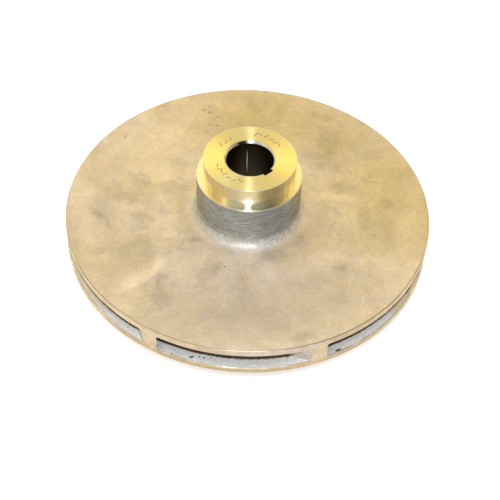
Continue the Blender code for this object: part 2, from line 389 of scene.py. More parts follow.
# Painted light on the spigot: painted shade, a painted glint with a painted halo and dark bands round it,
# painted streak highlights and painted yellow reflections
SPIGOT_PAINTED_SHADE = ((18, 113, 13, 12, 0, 1.0),)
SPIGOT_PAINTED_GLINT = ((0, 105, 3.6, 10, 0, 1.0),)
SPIGOT_PAINTED_BANDS = ((0, 104, 24, 7, 0, 1.0),)
SPIGOT_PAINTED_HALO = ((-3, 103, 21, 8, 0, 1.0),)
SPIGOT_STREAK_HIGHLIGHTS = (
    (31.5, 106, 1.4, 10, 0, 1.0), (-24.5, 108, 0.8, 8, 0, 0.6), (-32, 106, 1.0, 9, 0, 0.7),
)
SPIGOT_YELLOW_REFLECTION = ((-29, 108, 14, 14, 0, 1.0), (38, 108, 8, 14, 0, 0.6))
# A painted highlight on the near side of the turned rim, and a painted glare on the hub's top
RIM_PAINTED_HIGHLIGHT = ((22, 57, 62, 7, 0, 1.0),)
TOP_GLARE = ((6, -30, 11, 11, 0, 1.0),)
# Broad zones of the disc: paler, cooler, darker and more yellow, and a painted silvery highlight in front
# of the hub
PALE_ZONES = (
    (-105, -31, 62, 38, 106, 0.75), (50, -48, 44, 30, 46, 1.0), (0, 0, 92, 92, 0, 0.40),
    (120, 86, 34, 13, 130, 0.5), (-50, -134, 26, 14, 160, 0.5),
)
COOL_ZONES = ((80, -76, 85, 60, 46, 1.0), (-60, -100, 60, 45, 30, 0.5), (88, 70, 36, 24, 136, 0.7))
DARK_ZONES = (
    (94, -90, 90, 32, 46, 1.0), (-4, 132, 62, 34, 2, 0.8), (-83, -87, 26, 16, 136, 1.0),
    (37, -128, 34, 24, 16, 0.9), (-2, 96, 30, 24, 46, 0.9), (126, -6, 40, 32, 46, 1.0),
    (-119, 86, 16, 12, 46, 0.6),
)
SILVER_HIGHLIGHT_ZONES = ((35, -33, 33, 12, 46, 1.0),)
YELLOW_ZONES = ((-71, 96, 105, 60, 36, 1.0), (65, 105, 90, 65, 150, 1.0), (-6, 126, 40, 26, 90, 1.0))
ZONE_TINTS = (
    (PALE_ZONES, (1.15, 1.145, 1.13)),
    (COOL_ZONES, (0.91, 0.925, 0.96)),
    (YELLOW_ZONES, (0.945, 0.90, 0.68)),
    (DARK_ZONES, (0.87, 0.87, 0.87)),
)
MILLIMETRE = 0.001
ELLIPSE_DEPTH = 1.0
PHOTO_WIDTH = 500


def seen_at(across, down, level):
    """The point at a height that the photograph shows at a pixel."""
    middle = PHOTO_WIDTH / 2
    ahead = PHOTO_WIDTH * CAMERA_LENS / SENSOR
    ray = CAMERA_PLACE.to_3x3() @ Vector((across - middle, middle - down, -ahead))
    eye = CAMERA_PLACE.translation
    return eye + ray * ((level - eye.z) / ray.z)


def mark_axes(mark, level):
    """A mark's centre and its two half axes, laid on a level face."""
    across, down, length, width, turn, _ = mark
    right, rise = math.cos(math.radians(turn)), math.sin(math.radians(turn))
    axes = []
    for x, y in ((length * right, -length * rise), (-width * rise, -width * right)):
        axes.append((seen_at(across + x, down + y, level) - seen_at(across - x, down - y, level)) / 2)
    return seen_at(across, down, level), *axes


def seen_ellipses(marks, level=BACK_FACE, swept=False):
    """Rows for ellipses() from marks in the photograph. A swept one keeps its first axis in front."""
    rows = []
    for mark in marks.values():
        centre, first, second = mark_axes(mark, level)
        if swept:
            heading, sizes = first, (first.length, abs(first.cross(second).z) / first.length)
        else:
            headings, sizes, _ = np.linalg.svd(np.array((first.xy, second.xy)).T)
            heading = headings[:, 0]
        turn = math.degrees(math.atan2(heading[1], heading[0]))
        places = (centre.x, centre.y, *sizes)
        rows.append((*(float(value) / MILLIMETRE for value in places), turn, mark[-1]))
    return rows


def seen_spots(spots, level):
    """Rows for ellipses() from spots whose centre is a pixel and whose size is a real one."""
    rows = []
    for across, down, *rest in spots.values():
        centre = seen_at(across, down, level)
        rows.append((centre.x / MILLIMETRE, centre.y / MILLIMETRE, *rest))
    return rows


def bent_place(shader, scale, reach):
    """The place on the surface, bent a little, so that round shapes get ragged edges."""
    centred = shader.vector("SUBTRACT", shader.noise(scale, 3.0, output="Color"), (0.5, 0.5, 0.5))
    return shader.vector("ADD", shader.place, shader.vector("MULTIPLY", centred, (reach, reach, 0.0)))


def in_ellipse(shader, place, row, level):
    """The place in an ellipse's own axes, where its rim is at one."""
    x, y, length, width, turn, _ = row
    return shader.node("ShaderNodeMapping", {
        "Vector": place,
        "Location": (x * MILLIMETRE, y * MILLIMETRE, level),
        "Rotation": (0.0, 0.0, math.radians(turn)),
        "Scale": (length * MILLIMETRE, width * MILLIMETRE, ELLIPSE_DEPTH),
    }, vector_type="TEXTURE")


def ellipses(shader, place, table, inner, outer, level=BACK_FACE, swept=False):
    """The strongest of the table's soft ellipses at each place on a level face.

    A swept one has a sharp rim in front and fades away against its first axis.
    """
    total = None
    for row in table:
        local = in_ellipse(shader, place, row, level)
        spot = shader.ramp(shader.vector("LENGTH", local), inner, outer, row[-1], 0.0)
        if swept:
            along = shader.vector("DOT_PRODUCT", local, (1.0, 0.0, 0.0))
            spot = shader.times(spot, shader.ramp(along, -1.0, 0.4))
        total = spot if total is None else shader.maths("MAXIMUM", total, spot)
    return total


def unrolled(shader):
    """The place on an upright wall, as a distance across the photograph's view and a height."""
    across = (math.cos(CAMERA_AZIMUTH), math.sin(CAMERA_AZIMUTH), 0.0)
    along = shader.vector("DOT_PRODUCT", shader.place, across)
    return shader.node("ShaderNodeCombineXYZ", {"X": along, "Y": shader.height()})


def far_side(shader):
    """One on the side away from where the photograph was taken."""
    away = (-math.sin(CAMERA_AZIMUTH), math.cos(CAMERA_AZIMUTH), 0.0)
    return shader.ramp(shader.vector("DOT_PRODUCT", shader.place, away), -0.001, 0.001)


def ground_strokes(shader, patch_scale, stroke_scale, stretch, bend=0.03, warp=0.0):
    """Strokes whose direction changes from one hand-ground patch to the next."""
    inputs = {"Vector": bent_place(shader, 22.0, bend), "Scale": patch_scale}
    cells = shader.node("ShaderNodeTexVoronoi", inputs, "Color")
    chance = shader.node("ShaderNodeSeparateColor", {0: cells})
    inputs = {"Vector": shader.place, "Angle": shader.times(chance, math.tau)}
    turned = shader.node("ShaderNodeVectorRotate", inputs, rotation_type="Z_AXIS")
    drawn_out = shader.vector("MULTIPLY", turned, (1.0, stretch, 1.0))
    return shader.noise(stroke_scale, 3.0, 0.6, warp, place=drawn_out), chance.node.outputs[1]


GROUND_METALLIC = 0.65


def ground_look(s):
    """Hand-ground steel: straw tint, smudges, rubs, strokes and pits, with painted highlight and shade.
    Gives its roughness and bump.
    """
    place = bent_place(s, 60.0, 0.020)
    broad = s.ramp(s.noise(11.0, 3.0, 0.55, 0.6), 0.36, 0.64)
    sweeps, area = ground_strokes(s, 17.0, 17.0, 3.0, 0.05, 0.6)
    patchy = s.ramp(sweeps, 0.40, 0.60)
    aside = s.vector("ADD", s.place, (0.3, 0.1, 0.0))
    straw = s.ramp(s.noise(48.0, 2.0, 0.6, 0.8, place=aside), 0.42, 0.62)
    cloud = s.ramp(s.noise(95.0, 4.0, 0.65, 0.5), 0.36, 0.64)
    strokes, patch = ground_strokes(s, 36.0, 260.0, 7.0)
    grain = s.noise(700.0, 4.0, 0.8)
    grey = ellipses(s, place, seen_ellipses(GREY_SMUDGES), 0.10, 1.50)
    clouded = s.ramp(cloud, 0.0, 1.0, 1.15, 0.75)
    grey = s.times(grey, clouded)
    pale = ellipses(s, place, seen_ellipses(PALE_PATCHES), 0.30, 1.35)
    brown = ellipses(s, place, seen_ellipses(BROWN_RUBS), 0.10, 1.40)
    zones = bent_place(s, 20.0, 0.04)
    round_pits = [(x, y, r, r, 0, v) for x, y, r, v in seen_spots(DISC_PITS, BACK_FACE)]
    pits = ellipses(s, s.place, round_pits, 0.20, 1.05)
    s.colour = s.mix(broad, (0.735, 0.617, 0.472), (0.822, 0.702, 0.588))
    for rows, tint in ZONE_TINTS:
        s.tint(ellipses(s, zones, rows, 0.2, 1.3), tint)
    # Painted highlight: silvery in front of the hub
    s.tint(ellipses(s, place, SILVER_HIGHLIGHT_ZONES, 0.3, 1.1), (1.00, 1.06, 1.15))
    s.tint(patchy, (0.935, 0.938, 0.950))
    s.tint(straw, (1.01, 1.00, 0.945))
    s.shade(s.ramp(cloud, 0.0, 1.0, 0.975, 1.035))
    s.shade(s.ramp(patch, 0.0, 1.0, 0.965, 1.03, smooth=False))
    s.shade(s.ramp(area, 0.0, 1.0, 0.97, 1.03, smooth=False))
    s.tint(grey, (0.665, 0.665, 0.685))
    s.tint(pale, (1.13, 1.14, 1.16))
    swept = bent_place(s, 70.0, 0.008)
    dull, fresh = (
        ellipses(s, swept, seen_ellipses(marks, swept=True), 0.72, 1.06, swept=True)
        for marks in (GREY_SWATHS, PALE_SWATHS)
    )
    s.tint(s.times(dull, clouded), (0.67, 0.67, 0.69))
    s.tint(fresh, (1.23, 1.235, 1.24))
    s.tint(brown, (0.83, 0.74, 0.63))
    # Painted shade: the disc's outer edge darkened, standing in for the dark reflection along it
    edge = s.ramp(s.radius(), OUTER_RADIUS - 0.0014, OUTER_RADIUS - 0.0004)
    s.tint(edge, (0.68, 0.57, 0.40))
    s.shade(s.ramp(strokes, 0.25, 0.75, 0.93, 1.07))
    s.shade(s.ramp(grain, 0.25, 0.75, 0.90, 1.10))
    s.cover(s.times(pits, 0.92), (0.12, 0.09, 0.07))
    rough = s.maths("ADD", s.ramp(broad, 0.0, 1.0, 0.62, 0.56), s.times(grey, 0.08))
    normal = s.bump(s.noise(24.0, 2.0), 0.00035)
    normal = s.bump(strokes, 0.00002, normal=normal)
    normal = s.bump(grain, 0.000008, normal=normal)
    normal = s.bump(s.maths("SUBTRACT", 0.0, pits), 0.0003, normal=normal)
    return rough, normal


def ground_metal():
    """The disc and the outside of the front shroud."""
    s = Shader("ground_shroud", (0.79, 0.68, 0.575), 0.60, metallic=GROUND_METALLIC)
    return s.finish(*ground_look(s))


def rim_metal():
    """The turned edge of both shrouds and the ground ends of the vanes, with a painted highlight on the
    near side.
    """
    s = Shader("turned_rim", (0.54, 0.45, 0.30), 0.36)
    lines = s.noise(2600.0, 2.0, place=s.vector("MULTIPLY", s.place, (0.02, 0.02, 1.0)))
    patch = s.ramp(s.noise(46.0, 3.0, 0.6), 0.35, 0.65)
    s.colour = s.mix(patch, (0.52, 0.40, 0.25), (0.645, 0.505, 0.32))
    lower = s.ramp(s.height(), RIM_FLOOR - 0.0005, RIM_FLOOR + 0.0010, 1.0, 0.0)
    s.tint(lower, (0.86, 0.84, 0.76))
    near_side = s.maths("SUBTRACT", 1.0, far_side(s))
    # Painted highlight on the rim's near side
    pale = ellipses(s, unrolled(s), RIM_PAINTED_HIGHLIGHT, 0.5, 1.1, 0.0)
    s.tint(s.times(pale, near_side), (0.99, 1.045, 1.27))
    grime = s.ramp(s.noise(130.0, 3.0, 0.7), 0.56, 0.72)
    s.tint(s.times(grime, 0.7), (0.72, 0.66, 0.60))
    normal = s.bump(lines, 0.00004)
    return s.finish(s.ramp(patch, 0.0, 1.0, 0.38, 0.30), normal)


def worn_edge_metal():
    """The edges that handling has rubbed bright, broken by small dents."""
    s = Shader("worn_edge", (0.85, 0.80, 0.68), 0.26)
    rubbed = s.ramp(s.noise(60.0, 3.0, 0.7), 0.48, 0.60)
    s.colour = s.mix(rubbed, (0.60, 0.50, 0.36), (0.82, 0.76, 0.64))
    return s.finish(s.ramp(rubbed, 0.0, 1.0, 0.42, 0.32), s.bump(s.noise(500.0, 2.0), 0.00003))


def turned_surface(shader, anisotropy):
    """Grooves run round the axis, so that highlights spread across them."""
    shader.surface.inputs["Anisotropic"].default_value = anisotropy
    shader.surface.inputs["Anisotropic Rotation"].default_value = 0.25
    tangent = shader.node("ShaderNodeTangent", {}, direction_type="RADIAL", axis="Z")
    shader.feed(shader.surface.inputs["Tangent"], tangent)


def bright_metal():
    """Machined top of the hub and other turned faces, with rings from the turning tool and a painted
    glare on the top.
    """
    s = Shader("hub_bright", (0.92, 0.82, 0.50), 0.30)
    rings = s.noise(1500.0, 3.0, 0.7, place=s.radius(), size=1)
    s.colour = s.mix(s.ramp(rings, 0.3, 0.7), (0.94, 0.80, 0.40), (1.0, 0.87, 0.46))
    # Painted highlight: a glare on the hub's top
    glare = ellipses(s, s.place, TOP_GLARE, 0.2, 1.1, HUB_TOP)
    s.cover(s.times(glare, 0.9), (1.0, 0.97, 0.60))
    turned_surface(s, 0.96)
    return s.finish(0.35, s.bump(rings, 0.000008))


def spigot_metal():
    """The polished upper barrel, with painted shade, highlights and reflections."""
    s = Shader("spigot_bright", (0.88, 0.82, 0.66), 0.10)
    lines = s.noise(1800.0, 3.0, 0.7, place=s.height(), size=1)
    s.colour = s.mix(s.ramp(lines, 0.3, 0.7), (0.70, 0.645, 0.40), (0.78, 0.72, 0.47))
    place = unrolled(s)
    # Painted shade, painted yellow reflections and painted streak highlights
    for rows, inner, tint in (
        (SPIGOT_PAINTED_SHADE, 0.45, (0.66, 0.62, 0.54)),
        (SPIGOT_YELLOW_REFLECTION, 0.3, (1.18, 1.03, 0.84)),
        (SPIGOT_STREAK_HIGHLIGHTS, 0.3, (1.30, 1.26, 1.05)),
    ):
        s.tint(ellipses(s, place, rows, inner, 1.1, 0.0), tint)
    # Painted dark bands round the glint, then its painted halo and the painted glint itself
    banded = s.times(ellipses(s, place, SPIGOT_PAINTED_BANDS, 0.4, 1.1, 0.0), 0.8)
    bands = s.ramp(s.noise(520.0, 2.0, 0.6, place=s.height(), size=1), 0.40, 0.60)
    s.tint(s.times(banded, bands), (0.74, 0.73, 0.69))
    s.tint(ellipses(s, place, SPIGOT_PAINTED_HALO, 0.3, 1.1, 0.0), (1.12, 1.13, 1.36))
    glint = ellipses(s, place, SPIGOT_PAINTED_GLINT, 0.2, 1.1, 0.0)
    s.cover(s.times(glint, 0.8), (0.90, 0.90, 0.89))
    turned_surface(s, 1.0)
    return s.finish(0.19, s.bump(lines, 0.000004))


def ledge_metal():
    """The polished ledge below the spigot."""
    s = Shader("ledge_bright", (0.88, 0.82, 0.66), 0.10)
    rings = s.noise(1800.0, 3.0, 0.7, place=s.radius(), size=1)
    s.colour = s.mix(s.ramp(rings, 0.3, 0.7), (0.90, 0.845, 0.66), (0.97, 0.92, 0.74))
    turned_surface(s, 0.3)
    duller = s.ramp(s.radius(), BARREL_RADIUS - 0.0032, BARREL_RADIUS - 0.0004, 0.11, 0.36)
    return s.finish(duller, s.bump(rings, 0.000004))


def chamfer_metal():
    """The turned chamfers at the mouths of the bore, silvery and dull, with one dark spot at the upper
    mouth.
    """
    s = Shader("chamfer_silver", (0.86, 0.82, 0.72), 0.34)
    rings = s.noise(2200.0, 2.0, place=s.radius(), size=1)
    turned_surface(s, 0.9)
    s.colour = s.mix(rings, (0.80, 0.76, 0.66), (0.92, 0.88, 0.78))
    # Darkens one spot on the upper mouth
    s.tint(ellipses(s, s.place, MOUTH_DARK_SPOT, 0.4, 1.1, HUB_TOP), (0.07, 0.065, 0.06))
    return s.finish(0.36, s.bump(rings, 0.000008))


def barrel_metal():
    """The duller lower barrel, grey with broken turning lines and dark specks, with painted shade and
    painted reflections.
    """
    s = Shader("barrel_grey", (0.42, 0.42, 0.44), 0.60, metallic=0.8)
    drawn_out = s.vector("MULTIPLY", s.place, (0.05, 0.05, 1.0))
    lines = s.noise(2100.0, 3.0, 0.8, place=drawn_out)
    mottle = s.noise(170.0, 4.0, 0.65, place=s.vector("MULTIPLY", s.place, (0.4, 0.4, 1.0)))
    specks = s.ramp(s.noise(430.0, 3.0, 0.7), 0.56, 0.68)
    low = s.ramp(s.height(), BEAD_TOP, BEAD_TOP + 0.016, 1.0, 0.12)
    s.colour = s.mix(s.ramp(lines, 0.36, 0.64), (0.27, 0.285, 0.295), (0.515, 0.535, 0.545))
    s.shade(s.ramp(mottle, 0.3, 0.7, 0.88, 1.10))
    foot = s.ramp(s.height(), BEAD_TOP + 0.001, BEAD_TOP + 0.006, 1.22, 1.0)
    s.shade(foot)
    place = unrolled(s)
    # Painted shade on one stretch, and painted straw-coloured reflections on the sides
    s.tint(ellipses(s, place, BARREL_SHADE, 0.4, 1.1, 0.0), (0.82, 0.82, 0.83))
    s.tint(ellipses(s, place, BARREL_WARM_REFLECTION, 0.2, 1.1, 0.0), (1.0, 0.88, 0.66))
    dark = s.times(specks, s.times(low, 0.75))
    s.cover(dark, (0.11, 0.11, 0.115))
    bright = ellipses(s, place, BARREL_SCRATCHES, 0.3, 1.0, 0.0)
    s.cover(s.times(bright, 0.85), (0.85, 0.85, 0.86))
    return s.finish(0.60, s.bump(lines, 0.000012))


def bead_metal():
    """The blasted silvery fillet round the hub's foot: grey above, straw-coloured at its toe, with a
    painted highlight in front and painted shade on the left.
    """
    s = Shader("bead_silver", (0.60, 0.60, 0.58), 0.6, metallic=GROUND_METALLIC)
    rough, normal = ground_look(s)
    ground = s.colour
    lumps = s.noise(300.0, 4.0, 0.7)
    specks = s.ramp(s.noise(520.0, 3.0, 0.7), 0.60, 0.72)
    ragged = s.maths("SUBTRACT", s.noise(190.0, 5.0, 0.75), 0.5)
    bent = s.maths("ADD", s.height(), s.times(ragged, 0.008))
    upper = s.ramp(bent, BACK_FACE + 0.0048, BACK_FACE + 0.0095, 0.0, 1.0)
    toe = s.ramp(bent, BACK_FACE - 0.0004, BACK_FACE + 0.0032, 1.0, 0.0)
    foot = s.ramp(s.radius(), BEAD_RADIUS - 0.0012, BEAD_RADIUS + 0.0012)
    toe = s.maths("MAXIMUM", toe, foot)
    # Painted highlight on the front of the bead
    rubbed = ellipses(s, bent_place(s, 120.0, 0.004), BEAD_FRONT_HIGHLIGHT, 0.3, 1.1)
    s.colour = s.mix(s.ramp(lumps, 0.3, 0.7), (0.49, 0.485, 0.46), (0.80, 0.79, 0.755))
    s.cover(upper, (0.40, 0.405, 0.42))
    s.cover(s.times(rubbed, s.ramp(lumps, 0.3, 0.6, 0.45, 0.85)), (0.92, 0.93, 0.93))
    s.cover(s.times(specks, s.ramp(upper, 0.0, 1.0, 0.25, 0.7)), (0.14, 0.14, 0.14))
    s.cover(toe, ground)
    # Painted shade on the bead's left
    s.tint(ellipses(s, s.place, BEAD_SHADE, 0.4, 1.1, BEAD_TOP), (0.88, 0.88, 0.88))
    lumpy = s.times(lumps, s.ramp(toe, 0.0, 1.0, 1.0, 0.0))
    return s.finish(s.maths("MINIMUM", rough, 0.6), s.bump(lumpy, 0.00016, normal))


def cast_metal():
    """The blasted cast skin of the passages: bright near the rim, with painted shadow in dark brown
    further in.
    """
    s = Shader("passage_cast", (0.82, 0.83, 0.83), 0.6, metallic=0.1)
    grain = s.noise(420.0, 4.0, 0.65)
    blotch = s.ramp(s.noise(90.0, 3.0, 0.6), 0.35, 0.65)
    scattered = s.ramp(s.noise(210.0, 3.0, 0.65), 0.67, 0.72)
    place = bent_place(s, 420.0, 0.0028)
    specks = ellipses(s, place, seen_spots(PASSAGE_SPECKS, RIM_FLOOR), 0.55, 1.05, RIM_FLOOR)
    glints = seen_ellipses(PASSAGE_PAINTED_GLINTS, RIM_FLOOR)
    # Painted highlights: the share of the near-white places on the front passage's floor
    ground = ellipses(s, bent_place(s, 240.0, 0.004), glints, 0.45, 1.05, RIM_FLOOR)
    s.colour = s.mix(s.ramp(grain, 0.3, 0.7), (0.78, 0.79, 0.80), (0.96, 0.965, 0.96))
    s.tint(s.times(blotch, 0.4), (0.86, 0.87, 0.90))
    warm = ellipses(s, bent_place(s, 20.0, 0.02), WARM_FLOOR, 0.5, 1.1, RIM_FLOOR)
    s.tint(warm, (1.0, 0.90, 0.73))
    scaly = ellipses(s, bent_place(s, 60.0, 0.01), TAN_FLOOR, 0.6, 1.1, RIM_FLOOR)
    s.tint(scaly, (0.95, 0.80, 0.58))
    # Painted shadow, darker still, in some passages
    deep_shadow = ellipses(s, place, DEEP_SHADOW, 0.85, 1.05, RIM_FLOOR)
    s.tint(deep_shadow, (0.34, 0.26, 0.16))
    # Painted shadow in dark brown further into the passages, inside two circles
    aside = s.vector("MULTIPLY", s.vector("SUBTRACT", place, FAR_SHADOW_CENTRE), (1.0, 1.0, 0.0))
    far = s.ramp(s.vector("LENGTH", aside), FAR_SHADOW_RADIUS - 0.0012, FAR_SHADOW_RADIUS, 1.0, 0.0)
    near = s.ramp(s.radius(), SHADOW_RADIUS - 0.0015, SHADOW_RADIUS, 1.0, 0.0)
    inside = s.maths("MINIMUM", far, near)
    s.tint(inside, (0.24, 0.18, 0.13))
    # The painted highlights get their near-white colour here
    s.cover(ground, (0.95, 0.95, 0.94))
    s.cover(s.maths("MAXIMUM", scattered, specks), (0.05, 0.048, 0.045))
    return s.finish(s.ramp(ground, 0.0, 1.0, 0.6, 0.34), s.bump(grain, 0.00025))


def wall_metal():
    """The cast sides of the vanes, browner than the floor of the passages, with painted shade under the
    ceiling and further in.
    """
    s = Shader("passage_wall", (0.50, 0.44, 0.38), 0.6, metallic=0.1)
    grain = s.noise(380.0, 4.0, 0.65)
    blotch = s.ramp(s.noise(80.0, 3.0, 0.6), 0.35, 0.65)
    s.colour = s.mix(s.ramp(grain, 0.3, 0.7), (0.48, 0.425, 0.375), (0.64, 0.575, 0.505))
    s.tint(blotch, (0.85, 0.82, 0.80))
    # Painted shade along the top of the wall, under the ceiling
    painted_ceiling_shade = s.ramp(s.height(), CEILING - 0.0022, CEILING - 0.0008)
    s.tint(painted_ceiling_shade, (0.42, 0.35, 0.30))
    # Painted shade further into the passages
    inside = s.ramp(s.radius(), SHADOW_RADIUS - 0.0150, SHADOW_RADIUS - 0.0070, 1.0, 0.0)
    s.tint(inside, (0.50, 0.41, 0.33))
    return s.finish(0.6, s.bump(grain, 0.00025))


def bore_metal():
    """The honed bore and its keyway, with soft bands along it and a painted highlight streak on its far
    wall.
    """
    s = Shader("bore_honed", (0.30, 0.27, 0.21), 0.20)
    lines = s.noise(900.0, 3.0, 0.7, place=s.height(), size=1)
    s.colour = s.mix(s.ramp(lines, 0.35, 0.65), (0.25, 0.22, 0.17), (0.30, 0.27, 0.21))
    # Painted highlight: a pale, duller streak on the far wall
    highlight_streak = s.times(ellipses(s, unrolled(s), BORE_HIGHLIGHT_STREAK, 0.4, 1.0, 0.0), far_side(s))
    s.cover(highlight_streak, (0.86, 0.84, 0.78))
    s.feed(s.surface.inputs["Metallic"], s.maths("SUBTRACT", 1.0, s.times(highlight_streak, 0.8)))
    turned_surface(s, 0.5)
    return s.finish(s.ramp(highlight_streak, 0.0, 1.0, 0.20, 0.6), s.bump(lines, 0.00001))


def mark_metal():
    """The burr and grime in the scribed lines."""
    s = Shader("scribed_line", (0.24, 0.16, 0.05), 0.6)
    grime = s.noise(1500.0, 2.0)
    s.colour = s.mix(grime, (0.13, 0.08, 0.02), (0.34, 0.23, 0.07))
    return s.finish()


MATERIALS = {
    "ground": ground_metal(),
    "rim": rim_metal(),
    "edge": worn_edge_metal(),
    "bright": bright_metal(),
    "spigot": spigot_metal(),
    "ledge": ledge_metal(),
    "chamfer": chamfer_metal(),
    "barrel": barrel_metal(),
    "bead": bead_metal(),
    "cast": cast_metal(),
    "wall": wall_metal(),
    "bore": bore_metal(),
    "mark": mark_metal(),
}


# Mesh building blocks

# Edges sharper than these angles stay sharp
TURNED_CREASE = math.radians(38)
HUB_CREASE = math.radians(32)
VANE_CREASE = math.radians(45)
# Columns of faces round a turned piece
RIM_COLUMNS = 420
RING_COLUMNS = 320
HUB_COLUMNS = 256


def add_object(name, mesh):
    item = bpy.data.objects.new(name, mesh)
    bpy.context.scene.collection.objects.link(item)
    return item


def finish_piece(item, slot, *nodes):
    """A piece of the object: it rides on the part's one body and stands for its solids."""
    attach(item, "root")
    if nodes:
        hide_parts(*nodes)


def bezier(controls, count):
    """Points along the curve that the control points pull."""
    degree = len(controls) - 1
    points = []
    for index in range(count):
        t = index / (count - 1)
        weights = [math.comb(degree, k) * t ** k * (1 - t) ** (degree - k) for k in range(degree + 1)]
        points.append(tuple(sum(w * c[axis] for w, c in zip(weights, controls)) for axis in (0, 1)))
    return points


def corner(before, point, after, reach, count=5):
    """A corner of an outline, rounded over the given reach."""
    def towards(other):
        length = math.hypot(other[0] - point[0], other[1] - point[1])
        share = min(reach / length, 0.5)
        return tuple(p + (o - p) * share for p, o in zip(point, other))
    return bezier((towards(before), point, towards(after)), count)


def outline(rows):
    """A closed outline from rows of (radius, height, rounding, material, divisions).

    The material and the divisions are those of the stretch that follows the point.
    """
    corners = []
    for index, (*here, rounding, _, _) in enumerate(rows):
        before, after = rows[index - 1][:2], rows[(index + 1) % len(rows)][:2]
        corners.append(corner(before, here, after, rounding) if rounding else [here])
    line = []
    for index, (*_, material, parts) in enumerate(rows):
        line += [(*point, material) for point in corners[index]]
        last, target = corners[index][-1], corners[(index + 1) % len(rows)][0]
        for step in range(1, parts):
            share = step / parts
            line.append((*(a + (b - a) * share for a, b in zip(last, target)), material))
    return line


def lathe(name, line, columns, shape=None):
    """A closed ring of quads from an outline of (radius, height, material), turned about Z."""
    rows = len(line)
    names = sorted({material for _, _, material in line})
    vertices = []
    for angle in (math.tau * column / columns for column in range(columns)):
        for index, (radius, height, _) in enumerate(line):
            if shape:
                radius, height = shape(radius, height, angle, index)
            vertices.append((radius * math.cos(angle), radius * math.sin(angle), height))
    faces, slots = [], []
    for column in range(columns):
        here, there = column * rows, (column + 1) % columns * rows
        for row in range(rows):
            below = (row + 1) % rows
            faces.append((here + row, here + below, there + below, there + row))
            slots.append(names.index(line[row][2]))
    mesh = bpy.data.meshes.new(name)
    mesh.from_pydata(vertices, [], faces)
    for material in names:
        mesh.materials.append(MATERIALS[material])
    mesh.polygons.foreach_set("material_index", slots)
    mesh.shade_smooth()
    mesh.set_sharp_from_angle(angle=TURNED_CREASE)
    return add_object(name, mesh)


def flow_ceiling():
    """Flow face of the back shroud, from the hub stem out to the start of the flat."""
    return bezier((
        (FLARE_END_RADIUS, FLARE_END_HEIGHT),
        (FLARE_END_RADIUS, CEILING - 0.010),
        (FLARE_START - 0.040, CEILING),
        (FLARE_START, CEILING),
    ), 28)


def shroud_height(radius, rim_height):
    return rim_height - SHROUD_SLOPE * (OUTER_RADIUS - radius)


def shroud_bend(rim_height, neck_radius, neck_pull):
    """One face of the front shroud, from the end of its slope down to the neck."""
    pulled = NECK_START - neck_pull
    return bezier((
        (NECK_START, shroud_height(NECK_START, rim_height)),
        (pulled, shroud_height(pulled, rim_height)),
        (neck_radius, NECK_HEIGHT + 0.004),
        (neck_radius, NECK_HEIGHT + 0.0003),
    ), 24)


# Hub

def cut(item, cutter):
    """Cuts the item's mesh, with the cutter's material on the cut faces, and removes the cutter."""
    modifier = item.modifiers.new("cut", "BOOLEAN")
    modifier.operation = "DIFFERENCE"
    modifier.solver = "EXACT"
    modifier.material_mode = "TRANSFER"
    modifier.object = cutter
    graph = bpy.context.evaluated_depsgraph_get()
    mesh = bpy.data.meshes.new_from_object(item.evaluated_get(graph))
    item.modifiers.clear()
    item.data = mesh
    bpy.data.objects.remove(cutter, do_unlink=True)


def key_bar():
    """A bar as wide as the key, from inside the bore to the keyway's floor."""
    inner = BORE_RADIUS / 2
    work = bmesh.new()
    bmesh.ops.create_cube(work, size=1.0)
    size = Matrix.Diagonal((KEY_FLOOR - inner, KEY_HALF * 2, HUB_TOP * 1.2, 1.0))
    place = Matrix.Translation(((KEY_FLOOR + inner) / 2, 0.0, HUB_TOP / 2))
    bmesh.ops.transform(work, matrix=place @ size, verts=work.verts)
    mesh = bpy.data.meshes.new("key_bar")
    work.to_mesh(mesh)
    work.free()
    mesh.materials.append(MATERIALS["bore"])
    return add_object("key_bar", mesh)


def make_hub():
    top, low = HUB_TOP - FACE_INSET, NOSE_HEIGHT
    mouth = BORE_RADIUS + BORE_CHAMFER
    buried = BACK_FACE - 0.001
    rows = [
        (mouth, top, 0.0002, "bright", 8),
        (SPIGOT_RADIUS, top, EDGE_ROUNDING, "chamfer", 1),
        (SPIGOT_RADIUS, top - EDGE_ROUNDING, 0.0, "spigot", 8),
        (SPIGOT_RADIUS, LEDGE, 0.0, "ledge", 4),
        (BARREL_RADIUS, LEDGE, EDGE_ROUNDING, "chamfer", 1),
        (BARREL_RADIUS, LEDGE - EDGE_ROUNDING, 0.0, "barrel", 12),
        (BARREL_RADIUS, buried, 0.0, "barrel", 1),
        (STEM_RADIUS, buried, 0.0, "barrel", 6),
        (STEM_RADIUS, low, 0.0009, "bright", 3),
        (mouth, low, 0.0002, "chamfer", 1),
        (BORE_RADIUS, low + BORE_CHAMFER, 0.0002, "bore", 16),
        (BORE_RADIUS, top - BORE_CHAMFER, 0.0004, "chamfer", 1),
    ]
    hub = lathe("hub_body", outline(rows), HUB_COLUMNS)
    cut(hub, key_bar())
    hub.data.shade_smooth()
    hub.data.set_sharp_from_angle(angle=HUB_CREASE)
    finish_piece(hub, "hub_metal", "hub")


# Ticks scribed on the hub's face. They are plain single strokes that don't touch each other: lists
# of points in millimetres, along and up a line that runs round the axis.
STROKES = (
    ((0.0, 0.6), (0.7, 2.2), (1.0, 4.1)),
    ((0.0, 2.9), (0.9, 2.2), (1.9, 1.9)),
    ((0.2, 0.3), (1.0, 1.9), (1.8, 2.9)),
    ((0.0, 1.3), (1.0, 1.7), (1.9, 2.6)),
    ((0.6, 0.4), (0.9, 2.3), (1.7, 3.9)),
    ((0.0, 3.6), (0.6, 2.8), (1.6, 2.3)),
)
